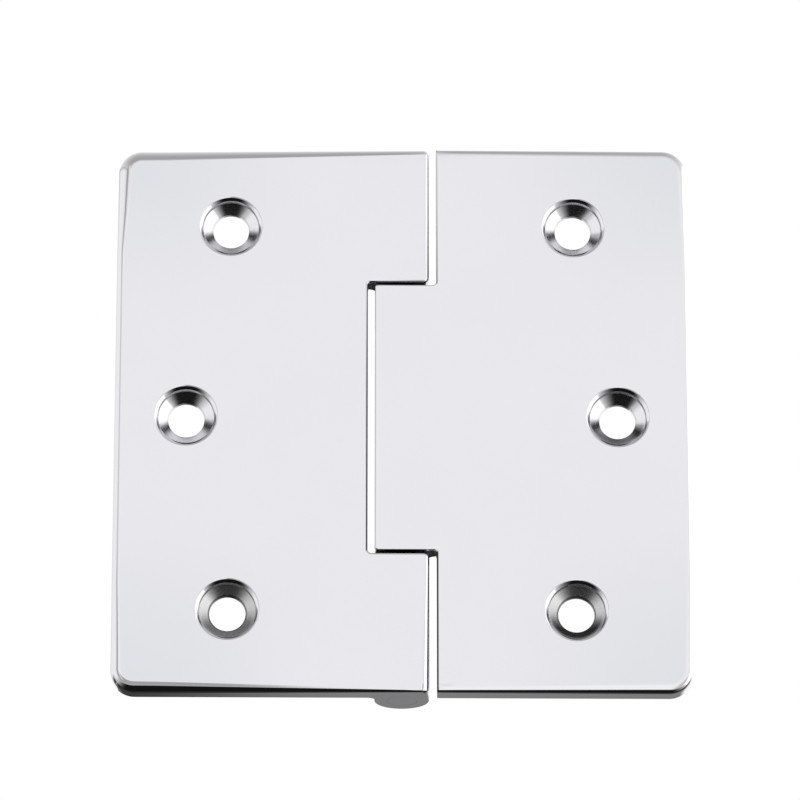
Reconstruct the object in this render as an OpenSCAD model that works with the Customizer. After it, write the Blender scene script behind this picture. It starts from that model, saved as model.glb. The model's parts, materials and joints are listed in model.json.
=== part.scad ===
// Butt hinge with flush faces, opened flat.
// The pin's axis is +Z, the polished faces look towards -Y and the barrel stands out towards +Y.
// The origin is on the pin's axis at mid height.

/* [Leaves] */
// Height of both leaves, along the pin
leaf_height = 76.2; // [68:0.1:120]
// Reach of each leaf from the pin's axis to its outer edge
leaf_reach = 38.1; // [35:0.1:60]
// Thickness of the leaf plates
leaf_thickness = 3; // [2.7:0.05:3.8]
// Radius of the outer corners, seen on the face
corner_r = 3.2; // [1.5:0.1:5]
// Round-over of the face along the outer edges
outer_edge_r = 0.7; // [0.3:0.05:1.2]
// Round-over of the face along the gaps
inner_edge_r = 0.3; // [0.1:0.05:0.6]

/* [Knuckles] */
// Outside diameter of the knuckles
knuckle_d = 7.2; // [6.6:0.1:8]
// Distance from the faces back to the pin's axis
axis_depth = 4.3; // [4:0.1:5]
// Length of the middle knuckle
middle_knuckle_len = 37.2; // [20:0.1:44]
// Axial gap at each end of the middle knuckle
end_gap = 0.4; // [0.2:0.05:0.8]
// Gap between a knuckle and the edge of the other leaf
side_gap = 0.95; // [0.8:0.05:1.5]
// Fillet between a knuckle and the back of its leaf
root_fillet_r = 1; // [0.5:0.1:1.4]

/* [Pin] */
// Diameter of the pin
pin_d = 4; // [3:0.1:4.6]
// Radial running clearance of the pin in the middle knuckle
pin_clearance = 0.05; // [0.02:0.01:0.1]
// Chamfer at the pin's ends
pin_chamfer = 0.3; // [0.1:0.05:0.6]

/* [Screw holes] */
// Diameter of the screw holes
hole_d = 4.8; // [4.4:0.1:5.4]
// Diameter of the countersinks at the top of the cone
countersink_d = 7.5; // [7:0.1:8]
// Included angle of the countersinks
countersink_angle = 90; // [82:1:100]
// Depth of the straight rim above the cone, from the face
rim_depth = 1.2; // [0.6:0.05:1.3]
// Round-over at the mouth of the countersinks
mouth_r = 0.4; // [0.1:0.05:0.6]
// Distance of the upper and lower holes from the pin's axis
outer_hole_offset = 22.9; // [12:0.1:30]
// Distance of the middle hole from the pin's axis
middle_hole_offset = 28.6; // [12:0.1:30]
// Spacing between the upper and lower holes
hole_spacing = 53.8; // [30:0.1:56]

/* [Hidden] */
$fn = 96;
// Overshoot of a cut beyond the surface that it starts from
over = 0.5;
face_y = -axis_depth;
back_y = face_y + leaf_thickness;
knuckle_r = knuckle_d / 2;
// Inner edge of a plate, beside the other leaf's knuckle
inner_x = knuckle_r + side_gap;
half_height = leaf_height / 2;
middle_z = middle_knuckle_len / 2;
// Inner end of the upper and lower knuckles
outer_z = middle_z + end_gap;
// Centre of the root fillet, tangent to the knuckle and to the back of the plate
fillet_y = back_y + root_fillet_r;
fillet_x = sqrt(pow(knuckle_r + root_fillet_r, 2) - pow(fillet_y, 2));
cone_depth = (countersink_d - hole_d) / 2 / tan(countersink_angle / 2);
steel = [0.86, 0.87, 0.89];
pin_steel = [0.72, 0.73, 0.75];

// Outlines of the faces for a leaf on the right, counter-clockwise from the lower outer corner.
// Each point is [x, z, corner radius, round-over of the edge that starts there].
single_outline = [
    [leaf_reach, -half_height, corner_r, outer_edge_r],
    [leaf_reach, half_height, corner_r, outer_edge_r],
    [inner_x, half_height, 0, inner_edge_r],
    [inner_x, middle_z, 0, inner_edge_r],
    [-knuckle_r, middle_z, 0, inner_edge_r],
    [-knuckle_r, -middle_z, 0, inner_edge_r],
    [inner_x, -middle_z, 0, inner_edge_r],
    [inner_x, -half_height, 0, outer_edge_r],
];
double_outline = [
    [leaf_reach, -half_height, corner_r, outer_edge_r],
    [leaf_reach, half_height, corner_r, outer_edge_r],
    [-knuckle_r, half_height, 0, inner_edge_r],
    [-knuckle_r, outer_z, 0, inner_edge_r],
    [inner_x, outer_z, 0, inner_edge_r],
    [inner_x, -outer_z, 0, inner_edge_r],
    [-knuckle_r, -outer_z, 0, inner_edge_r],
    [-knuckle_r, -half_height, 0, outer_edge_r],
];

// Places what is drawn in plan, with z = 0 on the face and +z out of it.
module on_face() {
    translate([0, face_y, 0]) rotate([90, 0, 0]) children();
}

// Section of the metal that a round-over takes off an edge at the origin.
// The metal lies at positive x and negative y.
module round_over_section(r, beyond = over) {
    difference() {
        translate([-beyond, -r]) square([r + beyond, r + over]);
        translate([r, -r]) circle(r);
    }
}

// Round-over of the edge from start to end, and of the corner at start, in plan.
module round_edge(before, start, end) {
    came = [start[0] - before[0], start[1] - before[1]];
    run = [end[0] - start[0], end[1] - start[1]];
    inside_corner = came[0] * run[1] < came[1] * run[0];
    r = start[3];
    plan_r = start[2];
    lead = plan_r > 0 ? plan_r : inside_corner ? 0 : -over;
    translate([start[0], start[1], 0]) rotate([0, 0, atan2(run[1], run[0])]) {
        translate([lead, 0, 0]) rotate([90, 0, 90])
            linear_extrude(norm(run) - lead - end[2]) round_over_section(r);
        if (plan_r > 0)
            translate([plan_r, plan_r, 0]) rotate([0, 0, 180]) rotate_extrude(angle = 90)
                translate([plan_r, 0]) mirror([1, 0]) round_over_section(r);
        if (inside_corner)
            rotate([0, 0, 90]) rotate_extrude(angle = 90) round_over_section(r, beyond = 0);
    }
}

module round_face(outline) {
    n = len(outline);
    for (i = [0 : n - 1])
        round_edge(outline[(i + n - 1) % n], outline[i], outline[(i + 1) % n]);
}

// Countersunk screw hole, drawn about its own axis with the face at z = 0.
module screw_hole() {
    rim_r = countersink_d / 2;
    mouth_outer_r = rim_r + mouth_r;
    hole_r = hole_d / 2;
    through = leaf_thickness + over;
    rotate_extrude() difference() {
        polygon([
            [0, over], [mouth_outer_r, over], [mouth_outer_r, -mouth_r], [rim_r, -mouth_r],
            [rim_r, -rim_depth], [hole_r, -rim_depth - cone_depth], [hole_r, -through], [0, -through],
        ]);
        translate([mouth_outer_r, -mouth_r]) circle(mouth_r);
    }
}

module screw_holes() {
    translate([middle_hole_offset, 0, 0]) screw_hole();
    for (side = [-1, 1])
        translate([outer_hole_offset, side * hole_spacing / 2, 0]) screw_hole();
}

// Plan of the plate without its knuckles, with the two outer corners rounded.
module plate_plan() {
    width = leaf_reach - inner_x;
    translate([inner_x, -half_height]) square([width - corner_r, leaf_height]);
    translate([inner_x, corner_r - half_height]) square([width, leaf_height - 2 * corner_r]);
    for (side = [-1, 1])
        translate([leaf_reach - corner_r, side * (half_height - corner_r)]) circle(corner_r);
}

// Section of a knuckle across the pin: round at the back, flush with the face at the front,
// and filleted into the back of its plate.
module knuckle_section() {
    circle(knuckle_r);
    translate([-knuckle_r, face_y]) square([knuckle_d, axis_depth]);
    translate([0, face_y]) square([inner_x + over, leaf_thickness]);
    difference() {
        polygon([[0, face_y], [fillet_x, face_y], [fillet_x, fillet_y], [0, 0]]);
        translate([fillet_x, fillet_y]) circle(root_fillet_r);
    }
}

// A leaf on the right, with knuckles over the given [from, to] stretches of Z.
module leaf(outline, knuckles, bore_d) {
    difference() {
        union() {
            translate([0, back_y, 0]) rotate([90, 0, 0]) linear_extrude(leaf_thickness) plate_plan();
            for (stretch = knuckles)
                translate([0, 0, stretch[0]]) linear_extrude(stretch[1] - stretch[0]) knuckle_section();
        }
        cylinder(d = bore_d, h = leaf_height + 2 * over, center = true);
        on_face() {
            screw_holes();
            round_face(outline);
        }
    }
}

// Left leaf with the upper and lower knuckles, which grip the pin
module two_knuckle_leaf() {
    color(steel) mirror([1, 0, 0])
        leaf(double_outline, [[-half_height, -outer_z], [outer_z, half_height]], pin_d);
}

// Right leaf with the middle knuckle, which turns on the pin
module single_knuckle_leaf() {
    color(steel) leaf(single_outline, [[-middle_z, middle_z]], pin_d + 2 * pin_clearance);
}

// Plain pin, chamfered at both ends and flush with the knuckles
module hinge_pin() {
    pin_r = pin_d / 2;
    tip_r = pin_r - pin_chamfer;
    body_z = half_height - pin_chamfer;
    color(pin_steel) rotate_extrude() polygon([
        [0, -half_height], [tip_r, -half_height], [pin_r, -body_z],
        [pin_r, body_z], [tip_r, half_height], [0, half_height],
    ]);
}

two_knuckle_leaf();
single_knuckle_leaf();
hinge_pin();
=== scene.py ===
"""Looks of a butt hinge: two polished leaves, their turned pin, the studio and the camera."""
import json
import math

import bmesh
import bpy
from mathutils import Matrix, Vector


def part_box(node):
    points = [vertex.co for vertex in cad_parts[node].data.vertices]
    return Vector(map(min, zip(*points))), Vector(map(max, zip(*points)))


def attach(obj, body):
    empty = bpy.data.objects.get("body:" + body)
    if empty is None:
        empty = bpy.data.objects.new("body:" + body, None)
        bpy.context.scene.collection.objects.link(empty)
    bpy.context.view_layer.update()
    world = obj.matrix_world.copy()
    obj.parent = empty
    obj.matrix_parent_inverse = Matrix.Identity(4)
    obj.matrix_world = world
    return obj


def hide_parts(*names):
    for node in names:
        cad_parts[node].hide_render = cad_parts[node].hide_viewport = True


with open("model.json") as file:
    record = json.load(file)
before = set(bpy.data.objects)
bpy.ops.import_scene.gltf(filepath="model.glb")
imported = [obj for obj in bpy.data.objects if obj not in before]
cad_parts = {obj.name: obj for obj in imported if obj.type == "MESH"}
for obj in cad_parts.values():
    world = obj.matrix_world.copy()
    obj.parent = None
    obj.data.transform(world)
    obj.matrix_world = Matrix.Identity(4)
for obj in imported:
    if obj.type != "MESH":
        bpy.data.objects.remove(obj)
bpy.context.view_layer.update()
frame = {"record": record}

MM = 0.001
TOLERANCE = 0.002 * MM

# Sizes that the frame gives
leaf_low, leaf_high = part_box("two_knuckle_leaf")
pin_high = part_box("hinge_pin")[1]
mounts = {mount["name"]: mount for mount in frame["record"]["mounts"]}
screws = mounts["fixed_leaf_screws"]
REACH = -leaf_low.x
HALF_HEIGHT = leaf_high.z
FACE = leaf_low.y
BACK = mounts["fixed_leaf_back"]["pos_m"][1]
THICKNESS = BACK - FACE
KNUCKLE_R = leaf_high.x
PIN_R = pin_high.x
HOLE_R = screws["dims"]["hole_r_mm"] * MM
OUTER_HOLE_X = -screws["pos_m"][0]
OUTER_HOLE_Z = screws["dims"]["spacing_y_mm"] * MM / 2
MIDDLE_HOLE_X = -mounts["fixed_leaf_middle_hole"]["pos_m"][0]
# Places of the screw holes on the leaf at +X, and mirrored on the other one
HOLES = [(OUTER_HOLE_X, OUTER_HOLE_Z), (MIDDLE_HOLE_X, 0), (OUTER_HOLE_X, -OUTER_HOLE_Z)]

# Sizes of the solids that the frame doesn't give
SIDE_GAP = 0.95 * MM
MIDDLE_Z = 18.6 * MM
OUTER_Z = MIDDLE_Z + 0.4 * MM
CORNER_R = 3.2 * MM
RIM_R = 3.75 * MM
BORE_CLEARANCE = 0.05 * MM
# Inner edge of a plate, beside the other leaf's knuckle
INNER = KNUCKLE_R + SIDE_GAP
# Root fillet that leaves the back of the plate at its inner edge
FILLET_R = (INNER ** 2 + BACK ** 2 - KNUCKLE_R ** 2) / (2 * (KNUCKLE_R - BACK))

# Countersinks as they look: a chamfered ring, a short step and a cone flatter than the solids' one
RING_WIDTH = 0.4 * MM
MOUTH_R = 0.35 * MM
RIM_DEPTH = 1.1 * MM
RIM_FILLET_R = 0.12 * MM
CONE_SLOPE = math.radians(35.5)
CONE_DEPTH = (RIM_R - HOLE_R) * math.tan(CONE_SLOPE)
HOLE_BACK_CHAMFER = 0.35 * MM
# Darker patches in the lower half of some countersinks: the place of the hole and how dark it is
LOW_COUNTERSINK_PATCHES = [
    (OUTER_HOLE_X, -OUTER_HOLE_Z, 0.97),
    (MIDDLE_HOLE_X, 0, 0.8),
    (-OUTER_HOLE_X, -OUTER_HOLE_Z, 0.45),
    (-OUTER_HOLE_X, OUTER_HOLE_Z, 0.2),
]

# Width of the rounding of each face's outer edges, which hand polishing leaves uneven: along the
# top and the bottom it goes from the first value at the pin to the second round the outer corner,
# and from there to that of the side. A profile of 0.5 is a quarter circle, and a larger one is
# fuller, with a slower start on the face.
LEFT_ROUNDING = {
    "top": (0.7 * MM, 1.9 * MM),
    "bottom": (0.3 * MM, 1.4 * MM),
    "side": 1.05 * MM,
    "profile": 0.52,
}
RIGHT_ROUNDING = {
    "top": (1.1 * MM, 1.8 * MM),
    "bottom": (1.0 * MM, 2.0 * MM),
    "side": 1.2 * MM,
    "profile": 0.8,
}
WIDEST_ROUNDING = 2.0 * MM
SIDE_BLEND = 7 * MM
# Rounding of the knuckles' tips, from the face to the level of the pin, and of the other edges
TIP_EDGE_R = 0.6 * MM
LOW_TIP_EDGE_R = 1.1 * MM
TIP_CORNER_R = 1.0 * MM
GAP_EDGE_R = 0.35 * MM
PLAIN_EDGE_R = 0.15 * MM
INSIDE_CORNER_R = 0.5 * MM
PIN_CHAMFER = 0.03 * MM
OVERSHOOT = 0.5 * MM

# Fineness of the round stretches
BARREL_STEPS = 64
FILLET_STEPS = 16
CORNER_STEPS = 28
EDGE_STEPS = 16
INSIDE_STEPS = 10
LONG_EDGE_CUTS = 11
TIP_CUTS = 2
HOLE_SIDES = 160
MOUTH_STEPS = 10
RIM_STEPS = 4
# Edges between faces that lie flatter than the first are dissolved, those sharper than the second
# are rounded, and those sharper than the third are shaded sharp
FLAT_ANGLE = math.radians(0.5)
ROUNDED_ANGLE = math.radians(30)
SHARP_ANGLE = math.radians(35)

# Colours of the steel. The polish and the pin vary between two of them.
POLISH_COLOURS = ((0.800, 0.793, 0.828, 1), (0.822, 0.813, 0.842, 1))
LOW_COUNTERSINK_COLOUR = (0.64, 0.64, 0.65, 1)
STEP_COLOUR = (0.6, 0.6, 0.61, 1)
# Near black, for the darker patches in the countersinks and for the painted shade and dark
# reflections along the slots
DARK_PATCH_AND_SLOT_SHADE_COLOUR = (0.03, 0.03, 0.032, 1)
# Painted shade inside the gaps at the ends of the middle knuckle
GAP_SHADE_COLOUR = (0.012, 0.012, 0.013, 1)
PIN_COLOURS = ((0.60, 0.61, 0.63, 1), (0.68, 0.69, 0.71, 1))
PIN_END_COLOUR = (0.811, 0.803, 0.835, 1)
# Relief of the finish
WAVE_DEPTH = 0.006 * MM
TURNING_DEPTH = 0.0004 * MM
TURNING_PITCH = 0.17 * MM
GRAIN_DEPTH = 0.004 * MM
STREAK_DEPTH = 0.0015 * MM


def near(a, b):
    return abs(a - b) < TOLERANCE


def deselect_objects():
    bpy.ops.object.select_all(action="DESELECT")


def make_active(piece):
    deselect_objects()
    piece.select_set(True)
    bpy.context.view_layer.objects.active = piece


def named(name):
    """Names the object that an operator has just added, and its mesh."""
    piece = bpy.context.object
    piece.name = name
    piece.data.name = name
    return piece


def select_parts(piece, kind, test):
    """In edit mode, selects only the vertices, edges or faces that pass the test."""
    bpy.ops.mesh.select_mode(type=kind)
    bpy.ops.mesh.select_all(action="DESELECT")
    mesh = bmesh.from_edit_mesh(piece.data)
    parts = {"VERT": mesh.verts, "EDGE": mesh.edges, "FACE": mesh.faces}[kind]
    for part in parts:
        if test(part):
            part.select_set(True)
    mesh.select_flush_mode()
    bmesh.update_edit_mesh(piece.data)


def extrude_by(x, y, z):
    bpy.ops.mesh.extrude_region_move(TRANSFORM_OT_translate={"value": (x, y, z)})


def apply_modifier(piece, kind, **settings):
    make_active(piece)
    modifier = piece.modifiers.new(kind.lower(), kind)
    for name, value in settings.items():
        setattr(modifier, name, value)
    bpy.ops.object.modifier_apply(modifier=modifier.name)


def smooth(piece):
    """Smooth shading with flat faces kept flat, as on machined and polished metal."""
    make_active(piece)
    bpy.ops.object.shade_smooth_by_angle(angle=SHARP_ANGLE)
    apply_modifier(piece, "WEIGHTED_NORMAL", mode="FACE_AREA", weight=100, keep_sharp=True)


def turned(name, stations, sides, place=(0, 0, 0), turn=(0, 0, 0)):
    """A turned solid: a disc drawn out along +Z through its stations, each (along, radius)."""
    along, radius = stations[0]
    deselect_objects()
    bpy.ops.mesh.primitive_circle_add(vertices=sides, radius=radius, fill_type="NGON")
    piece = named(name)
    bpy.ops.object.mode_set(mode="EDIT")
    bpy.ops.mesh.select_all(action="SELECT")
    bpy.ops.transform.translate(value=(0, 0, along))
    for next_along, next_radius in stations[1:]:
        extrude_by(0, 0, next_along - along)
        grown = next_radius / radius
        if not near(next_radius, radius):
            bpy.ops.transform.resize(value=(grown, grown, 1), center_override=(0, 0, next_along))
        along = next_along
        radius = next_radius
    bpy.ops.mesh.select_all(action="SELECT")
    bpy.ops.mesh.normals_make_consistent(inside=False)
    bpy.ops.object.mode_set(mode="OBJECT")
    piece.location = place
    piece.rotation_euler = turn
    make_active(piece)
    bpy.ops.object.transform_apply(location=True, rotation=True, scale=False)
    return piece


def arc(radius, angle, steps):
    """Sines and versed sines of an arc from 0 to the given angle, times its radius."""
    turns = [angle * step / steps for step in range(steps + 1)]
    return [(radius * math.sin(turn), radius * (1 - math.cos(turn))) for turn in turns]


def screw_hole_stations():
    """Depths and radii of a countersunk hole, from outside the face to behind the plate."""
    # A chamfered ring, rounded into the face, then a short step down to the cone
    ring_angle = math.radians(45)
    mouth_r = RIM_R + RING_WIDTH + MOUTH_R * math.tan(ring_angle / 2)
    mouth = [(down, mouth_r - inward) for inward, down in arc(MOUTH_R, ring_angle, MOUTH_STEPS)]
    ring = [(RING_WIDTH, RIM_R)]
    step_angle = math.radians(90) - CONE_SLOPE
    foot = RIM_DEPTH - RIM_FILLET_R * math.tan(step_angle / 2)
    step_arc = arc(RIM_FILLET_R, step_angle, RIM_STEPS)
    step = [(foot + down, RIM_R - inward) for down, inward in step_arc]
    hole = [(RIM_DEPTH + CONE_DEPTH, HOLE_R), (THICKNESS - HOLE_BACK_CHAMFER, HOLE_R)]
    hole.append((THICKNESS + OVERSHOOT, HOLE_R + HOLE_BACK_CHAMFER + OVERSHOOT))
    return [(-OVERSHOOT, mouth_r)] + mouth + ring + step + hole


def cut(piece, cutter):
    """Takes the cutter's volume out of the piece and removes the cutter."""
    apply_modifier(piece, "BOOLEAN", operation="DIFFERENCE", solver="EXACT", object=cutter)
    bpy.data.objects.remove(cutter)


def draw_leaf_section(piece, side, z):
    """Draws the plate's and the knuckle's section across the pin, at one height."""
    bpy.ops.mesh.select_all(action="SELECT")
    bpy.ops.transform.resize(value=(REACH - INNER, THICKNESS, 1), center_override=(0, 0, 0))
    bpy.ops.transform.translate(value=(side * (REACH + INNER) / 2, (FACE + BACK) / 2, z))
    select_parts(piece, "EDGE", lambda edge: all(near(v.co.x, side * INNER) for v in edge.verts))
    extrude_by(-side * (INNER + KNUCKLE_R), 0, 0)
    # Straight side of the knuckle, up to the level of the pin
    tip = -side * KNUCKLE_R
    select_parts(piece, "VERT", lambda v: near(v.co.x, tip) and near(v.co.y, BACK))
    bpy.ops.mesh.extrude_vertices_move(TRANSFORM_OT_translate={"value": (0, -BACK, 0)})
    # Round back of the knuckle, then the root fillet down to the back of the plate
    fillet_y = BACK + FILLET_R
    root_angle = math.atan2(-fillet_y, INNER)
    bpy.ops.mesh.spin(
        steps=BARREL_STEPS, angle=side * (math.pi + root_angle), center=(0, 0, z), axis=(0, 0, 1)
    )
    bpy.ops.mesh.spin(
        steps=FILLET_STEPS,
        angle=-side * (math.pi / 2 + root_angle),
        center=(side * INNER, fillet_y, z),
        axis=(0, 0, 1),
    )
    bpy.ops.mesh.select_all(action="SELECT")
    bpy.ops.mesh.remove_doubles(threshold=TOLERANCE)
    select_parts(
        piece,
        "EDGE",
        lambda edge: all(
            v.co.y > BACK - TOLERANCE and abs(v.co.x) < INNER + TOLERANCE for v in edge.verts
        ),
    )
    bpy.ops.mesh.edge_face_add()


def ends(edge):
    return [v.co for v in edge.verts]


def runs_back(edge):
    """Whether an edge runs straight from the face towards the back."""
    first, second = ends(edge)
    return near((second - first).xz.length, 0)


def round_in_plan(piece, test, radius, steps):
    """Rounds the edges from face to back that stand at a place, (x, z), which passes the test."""
    select_parts(piece, "EDGE", lambda edge: runs_back(edge) and test(*ends(edge)[0].xz))
    bpy.ops.mesh.bevel(offset=radius, segments=steps, affect="EDGES", clamp_overlap=False)


def divide(piece, cuts, test):
    """Divides one edge, so that its rounding can taper. The faces beside it stay whole."""
    select_parts(piece, "EDGE", test)
    bpy.ops.mesh.subdivide(number_cuts=cuts)


def blend(first, second, share):
    return first + (second - first) * share


def outer_width(place, side, rounding):
    """Width of the rounding at a place on the outer edge of a face, even round each corner."""
    straight_x = REACH - CORNER_R
    straight_z = HALF_HEIGHT - CORNER_R
    along = min((side * place.x + KNUCKLE_R) / (straight_x + KNUCKLE_R), 1)
    width = blend(*rounding["top" if place.z > 0 else "bottom"], along)
    down_side = max(0, straight_z - abs(place.z)) / SIDE_BLEND
    return blend(width, rounding["side"], min(down_side, 1))


def edge_width(edge, side, rounding):
    """Width of the rounding of a convex edge, by where the edge lies."""
    middle = sum(ends(edge), Vector()) / 2
    at_tip = near(-side * middle.x, KNUCKLE_R)
    if not all(near(place.y, FACE) for place in ends(edge)):
        if all(near(place.y, BACK) for place in ends(edge)) and abs(middle.x) < INNER + CORNER_R:
            return 0
        if not (at_tip and runs_back(edge)):
            return PLAIN_EDGE_R
        return blend(TIP_CORNER_R, PLAIN_EDGE_R, (middle.y - FACE) / -FACE)
    if near(abs(middle.z), HALF_HEIGHT) or side * middle.x > INNER + TOLERANCE:
        return outer_width(middle, side, rounding)
    if not at_tip:
        return GAP_EDGE_R
    # The lowest knuckle's tip is rounded more and more towards its lower end
    low = (-OUTER_Z - middle.z) / (HALF_HEIGHT - OUTER_Z)
    return blend(TIP_EDGE_R, LOW_TIP_EDGE_R, max(0, low))


def weigh_edges(piece, side, rounding):
    """Gives each convex edge its share of the widest rounding."""
    mesh = bmesh.from_edit_mesh(piece.data)
    weight = mesh.edges.layers.float.new("bevel_weight_edge")
    for edge in mesh.edges:
        if edge.calc_face_angle_signed(0) > ROUNDED_ANGLE:
            edge[weight] = edge_width(edge, side, rounding) / WIDEST_ROUNDING
    bmesh.update_edit_mesh(piece.data)


def make_leaf(name, side, start, knuckle_end, plate_end, bore_r, rounding):
    """A leaf on the given side. Half of it is drawn out from start along Z, then mirrored."""
    tip = -side * KNUCKLE_R
    deselect_objects()
    bpy.ops.mesh.primitive_plane_add(size=1)
    piece = named(name)
    bpy.ops.object.mode_set(mode="EDIT")
    draw_leaf_section(piece, side, start)
    bpy.ops.mesh.select_all(action="SELECT")
    extrude_by(0, 0, knuckle_end - start)
    select_parts(
        piece,
        "FACE",
        lambda face: all(
            near(v.co.z, knuckle_end) and side * v.co.x > INNER - TOLERANCE for v in face.verts
        ),
    )
    extrude_by(0, 0, plate_end - knuckle_end)
    select_parts(piece, "FACE", lambda face: all(near(v.co.z, 0) for v in face.verts))
    bpy.ops.mesh.delete(type="FACE")
    bpy.ops.object.mode_set(mode="OBJECT")
    apply_modifier(piece, "MIRROR", use_axis=(False, False, True), merge_threshold=TOLERANCE)
    bpy.ops.object.mode_set(mode="EDIT")
    bpy.ops.mesh.select_all(action="SELECT")
    bpy.ops.mesh.remove_doubles(threshold=TOLERANCE)
    bpy.ops.mesh.normals_make_consistent(inside=False)
    bpy.ops.mesh.dissolve_limited(angle_limit=FLAT_ANGLE)
    round_in_plan(
        piece,
        lambda x, z: near(x, side * REACH) and near(abs(z), HALF_HEIGHT),
        CORNER_R,
        CORNER_STEPS,
    )
    round_in_plan(
        piece,
        lambda x, z: near(x, side * INNER) and near(abs(z), abs(knuckle_end)),
        INSIDE_CORNER_R,
        INSIDE_STEPS,
    )
    for height in (-HALF_HEIGHT, HALF_HEIGHT):
        divide(
            piece,
            LONG_EDGE_CUTS,
            lambda edge: edge.calc_length() > CORNER_R
            and all(near(place.y, FACE) and near(place.z, height) for place in ends(edge)),
        )
    divide(
        piece,
        LONG_EDGE_CUTS,
        lambda edge: edge.calc_length() > CORNER_R
        and all(near(place.y, FACE) and near(place.x, side * REACH) for place in ends(edge)),
    )
    divide(
        piece,
        LONG_EDGE_CUTS,
        lambda edge: all(
            near(place.y, FACE) and near(place.x, tip) and place.z < -OUTER_Z + TOLERANCE
            for place in ends(edge)
        ),
    )
    for height in {start, knuckle_end, -knuckle_end, -start} - {0}:
        divide(
            piece,
            TIP_CUTS,
            lambda edge: runs_back(edge)
            and all(near(place.x, tip) and near(place.z, height) for place in ends(edge)),
        )
    weigh_edges(piece, side, rounding)
    bpy.ops.object.mode_set(mode="OBJECT")
    apply_modifier(
        piece,
        "BEVEL",
        limit_method="WEIGHT",
        width=WIDEST_ROUNDING,
        segments=EDGE_STEPS,
        profile=rounding["profile"],
        use_clamp_overlap=False,
    )
    for hole_x, hole_z in HOLES:
        place = (side * hole_x, FACE, hole_z)
        turn = (math.radians(-90), 0, 0)
        cut(piece, turned("screw_hole", screw_hole_stations(), HOLE_SIDES, place, turn))
    far = HALF_HEIGHT + OVERSHOOT
    cut(piece, turned("bore", [(-far, bore_r), (far, bore_r)], HOLE_SIDES))
    smooth(piece)
    return piece


def make_pin():
    """The plain pin, flush with the outer knuckles."""
    tip = PIN_R - PIN_CHAMFER
    body = HALF_HEIGHT - PIN_CHAMFER
    stations = [(-HALF_HEIGHT, tip), (-body, PIN_R), (body, PIN_R), (HALF_HEIGHT, tip)]
    piece = turned("turned_pin", stations, HOLE_SIDES)
    smooth(piece)
    return piece


class Value:
    """An output socket in a material. Arithmetic on it adds Math nodes."""

    def __init__(self, tree, socket):
        self.tree = tree
        self.socket = socket

    def node(self, kind, settings=None, inputs=None, output=0):
        """Adds a node to the material: its settings first, then its sockets' values or links."""
        node = self.tree.nodes.new(kind)
        for name, value in (settings or {}).items():
            setattr(node, name, value)
        for name, value in (inputs or {}).items():
            if isinstance(value, Value):
                self.tree.links.new(value.socket, node.inputs[name])
            else:
                node.inputs[name].default_value = value
        return Value(self.tree, node.outputs[output])

    def math(self, operation, first, second=0.0):
        return self.node("ShaderNodeMath", {"operation": operation}, {0: first, 1: second})

    def __add__(self, other):
        return self.math("ADD", self, other)

    def __radd__(self, other):
        return self.math("ADD", other, self)

    def __sub__(self, other):
        return self.math("SUBTRACT", self, other)

    def __rsub__(self, other):
        return self.math("SUBTRACT", other, self)

    def __mul__(self, other):
        return self.math("MULTIPLY", self, other)

    def __rmul__(self, other):
        return self.math("MULTIPLY", other, self)

    def __pow__(self, other):
        return self.math("POWER", self, other)

    def smaller(self, other):
        return self.math("MINIMUM", self, other)

    def larger(self, other):
        return self.math("MAXIMUM", self, other)

    def sine(self):
        return self.math("SINE", self)

    def absolute(self):
        return self.math("ABSOLUTE", self)

    def rise(self, low, high):
        """A smooth rise from 0 at low to 1 at high, or a fall where low is the larger."""
        inputs = {"Value": self, "From Min": low, "From Max": high}
        return self.node("ShaderNodeMapRange", {"interpolation_type": "SMOOTHSTEP"}, inputs)

    def mix(self, first, second):
        """The first colour where this value is 0 and the second where it is 1."""
        settings = {"data_type": "RGBA"}
        return self.node("ShaderNodeMix", settings, {0: self, 6: first, 7: second}, output=2)

    def between(self, first, second):
        """The first number where this value is 0 and the second where it is 1."""
        return self.node("ShaderNodeMix", {"data_type": "FLOAT"}, {0: self, 2: first, 3: second})


def new_finish(name):
    """A metal material's shader node, and the place on the piece in Object coordinates."""
    material = bpy.data.materials.new(name)
    material.use_nodes = True
    tree = material.node_tree
    shader = tree.nodes["Principled BSDF"]
    shader.inputs["Metallic"].default_value = 1
    place = Value(tree, tree.nodes.new("ShaderNodeTexCoord").outputs["Object"])
    return material, shader, place


def set_finish(shader, colour, roughness, normal):
    for name, value in (("Base Color", colour), ("Roughness", roughness), ("Normal", normal)):
        value.tree.links.new(value.socket, shader.inputs[name])


def split(place):
    parts = place.node("ShaderNodeSeparateXYZ", inputs={0: place}).socket.node
    return [Value(place.tree, parts.outputs[axis]) for axis in "XYZ"]


def noise(place, scale, detail):
    inputs = {"Vector": place, "Scale": scale, "Detail": detail}
    return place.node("ShaderNodeTexNoise", inputs=inputs)


def stretched(place, x, y, z):
    """The place scaled along each axis, so that a noise on it becomes streaks."""
    return place.node("ShaderNodeMapping", inputs={"Vector": place, "Scale": (x, y, z)})


def relief(height, depth, normal=None):
    """A Bump node of the given depth in metres."""
    inputs = {"Height": height, "Strength": 1.0, "Distance": depth}
    if normal:
        inputs["Normal"] = normal
    return height.node("ShaderNodeBump", inputs=inputs)


def end_gap_shade_mask(x, y, z):
    """1 inside the gaps at the ends of the middle knuckle, where dark shade is painted on the
    steel.
    """
    height = z.absolute()
    behind_edge = y.rise(FACE + 0.2 * MM, FACE + 0.5 * MM)
    beside_axis = x.absolute().rise(INNER + 0.1 * MM, INNER)
    above = height.rise(MIDDLE_Z - 0.03 * MM, MIDDLE_Z - 0.01 * MM)
    below = height.rise(OUTER_Z + 0.03 * MM, OUTER_Z + 0.01 * MM)
    return behind_edge * beside_axis * above * below


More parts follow.
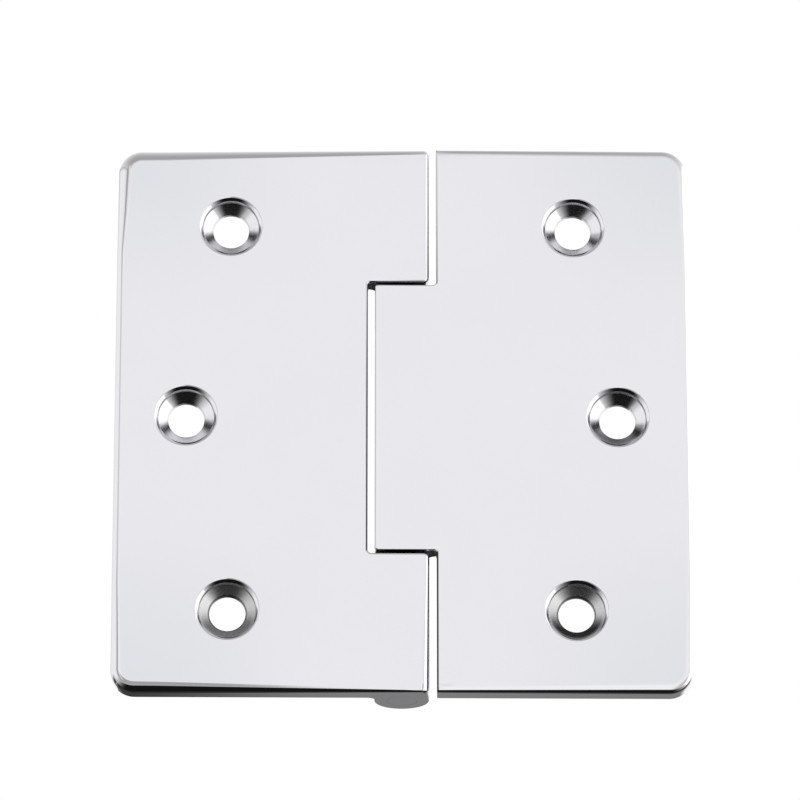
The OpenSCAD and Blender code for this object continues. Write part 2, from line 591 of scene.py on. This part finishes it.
def slot_shade_mask(x, y, z):
    """Painted shade and dark reflections along the edges of the slots between a knuckle and the
    other leaf, strongest low down.
    """
    across = x.absolute()
    height = z.absolute()
    behind_face = y.rise(FACE + 0.03 * MM, FACE + 0.12 * MM)
    near_face = y.rise(FACE + 0.7 * MM, FACE + 0.4 * MM)
    middle_of_slot = KNUCKLE_R + SIDE_GAP / 2
    # The painted shade covers more of the tips' rounding beside the upper end gap
    by_gap = z.rise(MIDDLE_Z / 2, MIDDLE_Z) * z.rise(HALF_HEIGHT, OUTER_Z)
    tip_edge = 0.2 * across.rise(KNUCKLE_R - 0.2 * MM, KNUCKLE_R - 0.04 * MM)
    tip_band = by_gap * across.rise(KNUCKLE_R - 0.5 * MM, KNUCKLE_R - 0.3 * MM)
    tip = tip_edge.larger(tip_band) * behind_face * across.rise(middle_of_slot, KNUCKLE_R)
    plate = across.rise(middle_of_slot, INNER - 0.1 * MM)
    plate = plate * across.rise(INNER + 0.3 * MM, INNER + 0.14 * MM)
    # The middle slot is at -X, and the upper and lower ones are at +X
    middle = x.rise(0, -INNER / 2) * height.rise(OUTER_Z, MIDDLE_Z)
    outer = x.rise(0, INNER / 2) * height.rise(MIDDLE_Z, OUTER_Z)
    low = 0.2 + 0.8 * z.rise(HALF_HEIGHT, 0)
    return (tip + plate) * near_face * (middle + outer) * low


def low_countersink_patch_mask(x, z):
    """How much darker the lower halves of the countersinks are, most of all near the holes."""
    dark_patch = 0
    for hole_x, hole_z, darkness in LOW_COUNTERSINK_PATCHES:
        across = x - hole_x
        along = z - hole_z
        inside = (across * across + along * along).rise(RIM_R ** 2, (0.85 * RIM_R) ** 2)
        dark_patch = dark_patch + darkness * inside * along.rise(0.3 * MM, -2.2 * MM)
    return dark_patch


def polished_steel():
    """Mirror polish on the faces and edges, turned countersinks and a satin back."""
    material, shader, place = new_finish("polished_steel")
    x, y, z = split(place)
    # Distance to the axis of the nearest screw hole, the same on both leaves
    from_axis = None
    for hole_x, hole_z in HOLES:
        across = x.absolute() - hole_x
        along = z - hole_z
        distance = (across * across + along * along) ** 0.5
        from_axis = distance.smaller(from_axis) if from_axis else distance
    in_front = y.rise(BACK - 0.2 * MM, BACK - 0.5 * MM)
    in_hole = from_axis.rise(RIM_R + 0.1 * MM, RIM_R) * in_front
    inside_ring = from_axis.rise(RIM_R + 0.06 * MM, RIM_R + 0.02 * MM) * in_front
    on_step = inside_ring * from_axis.rise(RIM_R - 0.08 * MM, RIM_R - 0.02 * MM)
    in_gap_shade = end_gap_shade_mask(x, y, z)
    inside_ends = z.absolute().rise(HALF_HEIGHT, HALF_HEIGHT - 0.1 * MM)
    slot_shade = slot_shade_mask(x, y, z) * inside_ends
    satin = y.rise(BACK - 0.3 * MM, BACK) * inside_ends
    smudges = noise(place, scale=90, detail=3)
    grain = noise(stretched(place, 1, 1, 0.06), scale=9000, detail=2)
    polish = smudges.mix(*POLISH_COLOURS)
    # The lower countersinks are coloured darker and made rougher than the upper ones, with a darker
    # edge round the hole
    low_hole = in_hole * z.rise(0, -OUTER_HOLE_Z)
    by_edge = from_axis.rise(HOLE_R + 0.25 * MM, HOLE_R + 0.08 * MM)
    hole_edge = by_edge * (0.2 * in_hole + 0.6 * low_hole)
    dark_patch = (low_countersink_patch_mask(x, z) * in_front).larger(hole_edge)
    darker_low_holes = low_hole.mix(polish, LOW_COUNTERSINK_COLOUR)
    patched_colour = dark_patch.mix(darker_low_holes, DARK_PATCH_AND_SLOT_SHADE_COLOUR)
    stepped = on_step.mix(patched_colour, STEP_COLOUR)
    # Painted shade and dark reflections along the edges of the slots beside the knuckles
    colour_before_gap_shade = slot_shade.mix(stepped, DARK_PATCH_AND_SLOT_SHADE_COLOUR)
    # Painted shade in the gaps at the ends of the middle knuckle
    colour = in_gap_shade.mix(colour_before_gap_shade, GAP_SHADE_COLOUR)
    turned_roughness = 0.06 * in_hole + 0.16 * low_hole
    unpolished_roughness = 0.22 * satin + 0.4 * in_gap_shade + 0.2 * slot_shade
    roughness = 0.04 + 0.03 * smudges + turned_roughness + unpolished_roughness
    # Turning marks of the countersink, then the satin grain, over the slow waves of the polish
    uneven = noise(place, scale=1500, detail=2)
    rings = (from_axis * (2 * math.pi / TURNING_PITCH) + 5 * uneven).sine() * in_hole
    normal = relief(noise(place, scale=160, detail=1), WAVE_DEPTH)
    normal = relief(rings, TURNING_DEPTH, normal)
    normal = relief(grain * satin, GRAIN_DEPTH, normal)
    set_finish(shader, colour, roughness, normal)
    return material


def turned_steel():
    """Fine rings round the pin, and ends polished together with the leaves."""
    material, shader, place = new_finish("pin_steel")
    x, y, z = split(place)
    at_end = z.absolute().rise(HALF_HEIGHT - 0.02 * MM, HALF_HEIGHT - 0.01 * MM)
    in_gap_shade = end_gap_shade_mask(x, y, z)
    streaks = noise(stretched(place, 1, 1, 20), scale=400, detail=2)
    colour_before_gap_shade = streaks.mix(*PIN_COLOURS)
    # Painted shade where the pin shows in the gaps at the ends of the middle knuckle
    colour = in_gap_shade.mix(at_end.mix(colour_before_gap_shade, PIN_END_COLOUR), GAP_SHADE_COLOUR)
    roughness = at_end.between(0.2 + 0.1 * streaks, 0.06)
    normal = relief(streaks * (1 - at_end), STREAK_DEPTH)
    set_finish(shader, colour, roughness, normal)
    return material


# Leaves and pin
left_leaf = make_leaf("left_leaf", -1, -HALF_HEIGHT, -OUTER_Z, 0, PIN_R, LEFT_ROUNDING)
right_leaf = make_leaf(
    "right_leaf", 1, 0, -MIDDLE_Z, -HALF_HEIGHT, PIN_R + BORE_CLEARANCE, RIGHT_ROUNDING
)
pin = make_pin()
steel = polished_steel()
left_leaf.data.materials.append(steel)
right_leaf.data.materials.append(steel)
pin.data.materials.append(turned_steel())
for piece, node, body, slot in (
    (left_leaf, "two_knuckle_leaf", "fixed_leaf", "polished_steel"),
    (right_leaf, "single_knuckle_leaf", "moving_leaf", "polished_steel"),
    (pin, "hinge_pin", "fixed_leaf", "pin_steel"),
):
    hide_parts(node)
    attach(piece, body)


# Studio
WHITE = (1, 1, 1, 1)
FLOOR_Z = -0.9
FLOOR_SIZE = 6
FLOOR_COLOUR = (0.93, 0.93, 0.93, 1)
FLOOR_ROUGHNESS = 0.9
# Share of plain white in the floor where it is seen as background
FLOOR_GLOW = 0.85
# Camera: focal length in pixels of an 800 pixel frame, and place as angles round its target
IMAGE_SIZE = 800
FOCAL_PIXELS = 6000
SENSOR = 36
CAMERA_BELOW = 19.81
CAMERA_LEFT = 0.705
CAMERA_DISTANCE = 0.7996
CAMERA_TARGET = Vector((-0.225, 0, 3.796)) * MM
CLIP_START = 0.01


def background_rays(value):
    """1 for rays that show the background, which are camera, glossy and transmission rays."""
    path = value.node("ShaderNodeLightPath").socket.node
    kinds = ("Camera", "Glossy", "Transmission")
    outputs = [path.outputs[f"Is {kind} Ray"] for kind in kinds]
    camera, glossy, transmission = (Value(value.tree, output) for output in outputs)
    return camera.larger(glossy).larger(transmission)


def make_world():
    world = bpy.data.worlds.new("studio")
    world.use_nodes = True
    bpy.context.scene.world = world
    world.node_tree.nodes["Background"].inputs["Color"].default_value = WHITE
    world.node_tree.nodes["Background"].inputs["Strength"].default_value = 1


def make_floor():
    deselect_objects()
    bpy.ops.mesh.primitive_plane_add(size=FLOOR_SIZE, location=(0, 0, FLOOR_Z))
    floor = named("floor")
    material = bpy.data.materials.new("floor")
    material.use_nodes = True
    tree = material.node_tree
    shader = tree.nodes["Principled BSDF"]
    shader.inputs["Base Color"].default_value = FLOOR_COLOUR
    shader.inputs["Roughness"].default_value = FLOOR_ROUGHNESS
    glow = tree.nodes.new("ShaderNodeEmission")
    start = Value(tree, glow.outputs[0])
    share = FLOOR_GLOW * background_rays(start)
    inputs = {0: share, 1: Value(tree, shader.outputs[0]), 2: start}
    shown = start.node("ShaderNodeMixShader", inputs=inputs)
    tree.links.new(shown.socket, tree.nodes["Material Output"].inputs["Surface"])
    floor.data.materials.append(material)


def grey(level):
    """A colour from one level, or from a red, green and blue one."""
    return (*level, 1) if isinstance(level, tuple) else (level, level, level, 1)


def make_card(name, low, high, level, soft, edge=1):
    """A flat card or softbox between two corners, seen only in reflections. Along each axis its
    level goes over to that of its edge within a share of its size, which may differ at its ends."""
    low = Vector(low)
    high = Vector(high)
    deselect_objects()
    bpy.ops.mesh.primitive_cube_add(size=1, location=(low + high) / 2)
    card = named(name)
    card.scale = high - low
    material = bpy.data.materials.new(name)
    material.use_nodes = True
    tree = material.node_tree
    place = Value(tree, tree.nodes.new("ShaderNodeTexCoord").outputs["Object"])
    inside = 1
    for along, share in zip(split(place), soft):
        low_share, high_share = share if isinstance(share, tuple) else (share, share)
        if low_share:
            inside = inside * (0.5 + along).rise(0, low_share)
        if high_share:
            inside = inside * (0.5 - along).rise(0, high_share)
    glow = place.node("ShaderNodeEmission", inputs={"Color": inside.mix(grey(edge), grey(level))})
    tree.links.new(glow.socket, tree.nodes["Material Output"].inputs["Surface"])
    card.data.materials.append(material)
    card.visible_camera = False
    card.visible_diffuse = False
    card.visible_shadow = False


def make_camera():
    below = math.radians(CAMERA_BELOW)
    left = math.radians(CAMERA_LEFT)
    level = math.cos(below)
    toward = Vector((-math.sin(left) * level, -math.cos(left) * level, -math.sin(below)))
    data = bpy.data.cameras.new("camera")
    data.sensor_width = SENSOR
    data.lens = FOCAL_PIXELS / IMAGE_SIZE * SENSOR
    data.clip_start = CLIP_START
    camera = bpy.data.objects.new("camera", data)
    bpy.context.scene.collection.objects.link(camera)
    camera.location = CAMERA_TARGET + toward * CAMERA_DISTANCE
    camera.rotation_euler = (-toward).to_track_quat("-Z", "Y").to_euler()
    bpy.context.scene.camera = camera


make_world()
make_floor()
dark_floor_soft = ((0.42, 0.33), (0.17, 0.1), 0)
make_card("dark_floor", (-0.45, -0.31, -0.202), (0.32, 0.3, -0.2), 0.008, dark_floor_soft, 0.7)
make_card("dim_floor", (-0.35, 0.05, -0.2), (0.35, 0.45, -0.199), 0.04, (0.2, 0.25, 0), 0.012)
make_card("grey_back", (-0.5, 0.3, -0.4), (0.5, 0.302, -0.03), 0.235, (0.2, 0, 0.15))
make_card("dark_back", (-0.3, 0.298, -0.4), (-0.003, 0.299, -0.03), 0.05, (0.16, 0, 0.15), 0.235)
ceiling_soft = ((0.5, 0.4), (0.3, 0.58), 0)
make_card("ceiling", (-0.6, -0.64, 0.3), (0.35, 0.3, 0.302), 0.43, ceiling_soft, 0.9)
left_soft = (0, (0.15, 0.2), (0.39, 0.24))
make_card("left_softbox", (-0.402, -0.45, -0.3), (-0.4, 0.5, 0.34), 1, left_soft, 0.35)
right_soft = (0, (0.2, 0.02), (0.2, 0.3))
make_card("right_softbox", (0.4, -0.8, -0.4), (0.402, 0.4, 0.7), 1.35, right_soft, 0.3)
make_card("left_low_flag", (-0.392, 0, -0.4), (-0.39, 0.4, -0.04), 0.03, (0, 0.3, 0.25), 0.6)
make_card("right_low_flag", (0.39, 0, -0.4), (0.392, 0.4, -0.04), 0.03, (0, 0.3, 0.25), 0.9)
front_left_soft = ((0.2, 0.04), 0, (0, 0.2))
make_card("front_low_left", (-0.7, -0.602, -0.4), (-0.012, -0.6, 0.1), 0.42, front_left_soft)
make_card("front_low_middle", (-0.012, -0.602, -0.4), (0.1, -0.6, 0.14), 1.06, (0.2, 0, (0, 0.1)))
make_card("front_low_right", (0.1, -0.602, -0.4), (0.7, -0.6, 0.1), 0.6, (0.2, 0, (0, 0.2)))
make_card("left_flag", (-0.55, -0.402, -0.1), (-0.2, -0.4, 0.5), 0.7, (0.25, 0, 0.2))
flag_soft = (0.25, 0, 0.12)
make_card("left_flag_below", (-0.5, -0.399, -0.1), (-0.22, -0.398, 0.15), 0.4, flag_soft, 0.75)
make_card("left_flag_above", (-0.5, -0.399, 0.205), (-0.22, -0.398, 0.5), 0.4, flag_soft, 0.75)
# Faint shades at the corners of what the faces mirror
shade_reach = Vector((0.05, 0.001, 0.045))
shade_level = (0.89, 0.925, 0.93)
for corner_x in (-0.06, 0.076):
    for corner_z in (0.144, 0.281):
        centre = Vector((corner_x, -0.6, corner_z))
        low = centre - shade_reach
        high = centre + shade_reach
        make_card("corner_shade", low, high, shade_level, (0.5, 0, 0.5))
make_camera()
bpy.context.scene.view_settings.view_transform = "Standard"
